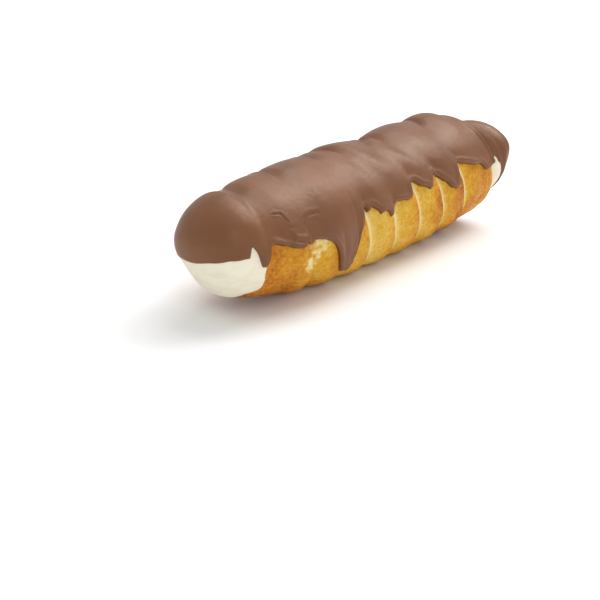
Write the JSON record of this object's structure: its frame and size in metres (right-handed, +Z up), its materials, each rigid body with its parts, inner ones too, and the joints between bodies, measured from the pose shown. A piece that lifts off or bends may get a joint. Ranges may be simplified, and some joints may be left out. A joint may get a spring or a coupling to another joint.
{
  "type": "cream horn",
  "caption": "Cream horn lying on its side: a wound puff pastry tube filled through with whipped foam that domes out at both ends, with a chocolate coat over its top.",
  "frame": {"origin": "on the floor, under the middle of the horn's box", "axes": "+X along the horn from the rounder foam end to the lopsided one, +Z up; the side seen in the picture faces -Y"},
  "size_m": [0.1598, 0.047, 0.0445],
  "materials": {
    "puff_pastry": "baked golden brown, dry, a little rough",
    "whipped_foam": "off-white, matt",
    "chocolate": "milk chocolate, satin"
  },
  "bodies": {
    "root": {"pastry_tube": "puff_pastry", "foam_filling": "whipped_foam", "chocolate_coat": "chocolate"}
  },
  "joints": []
}
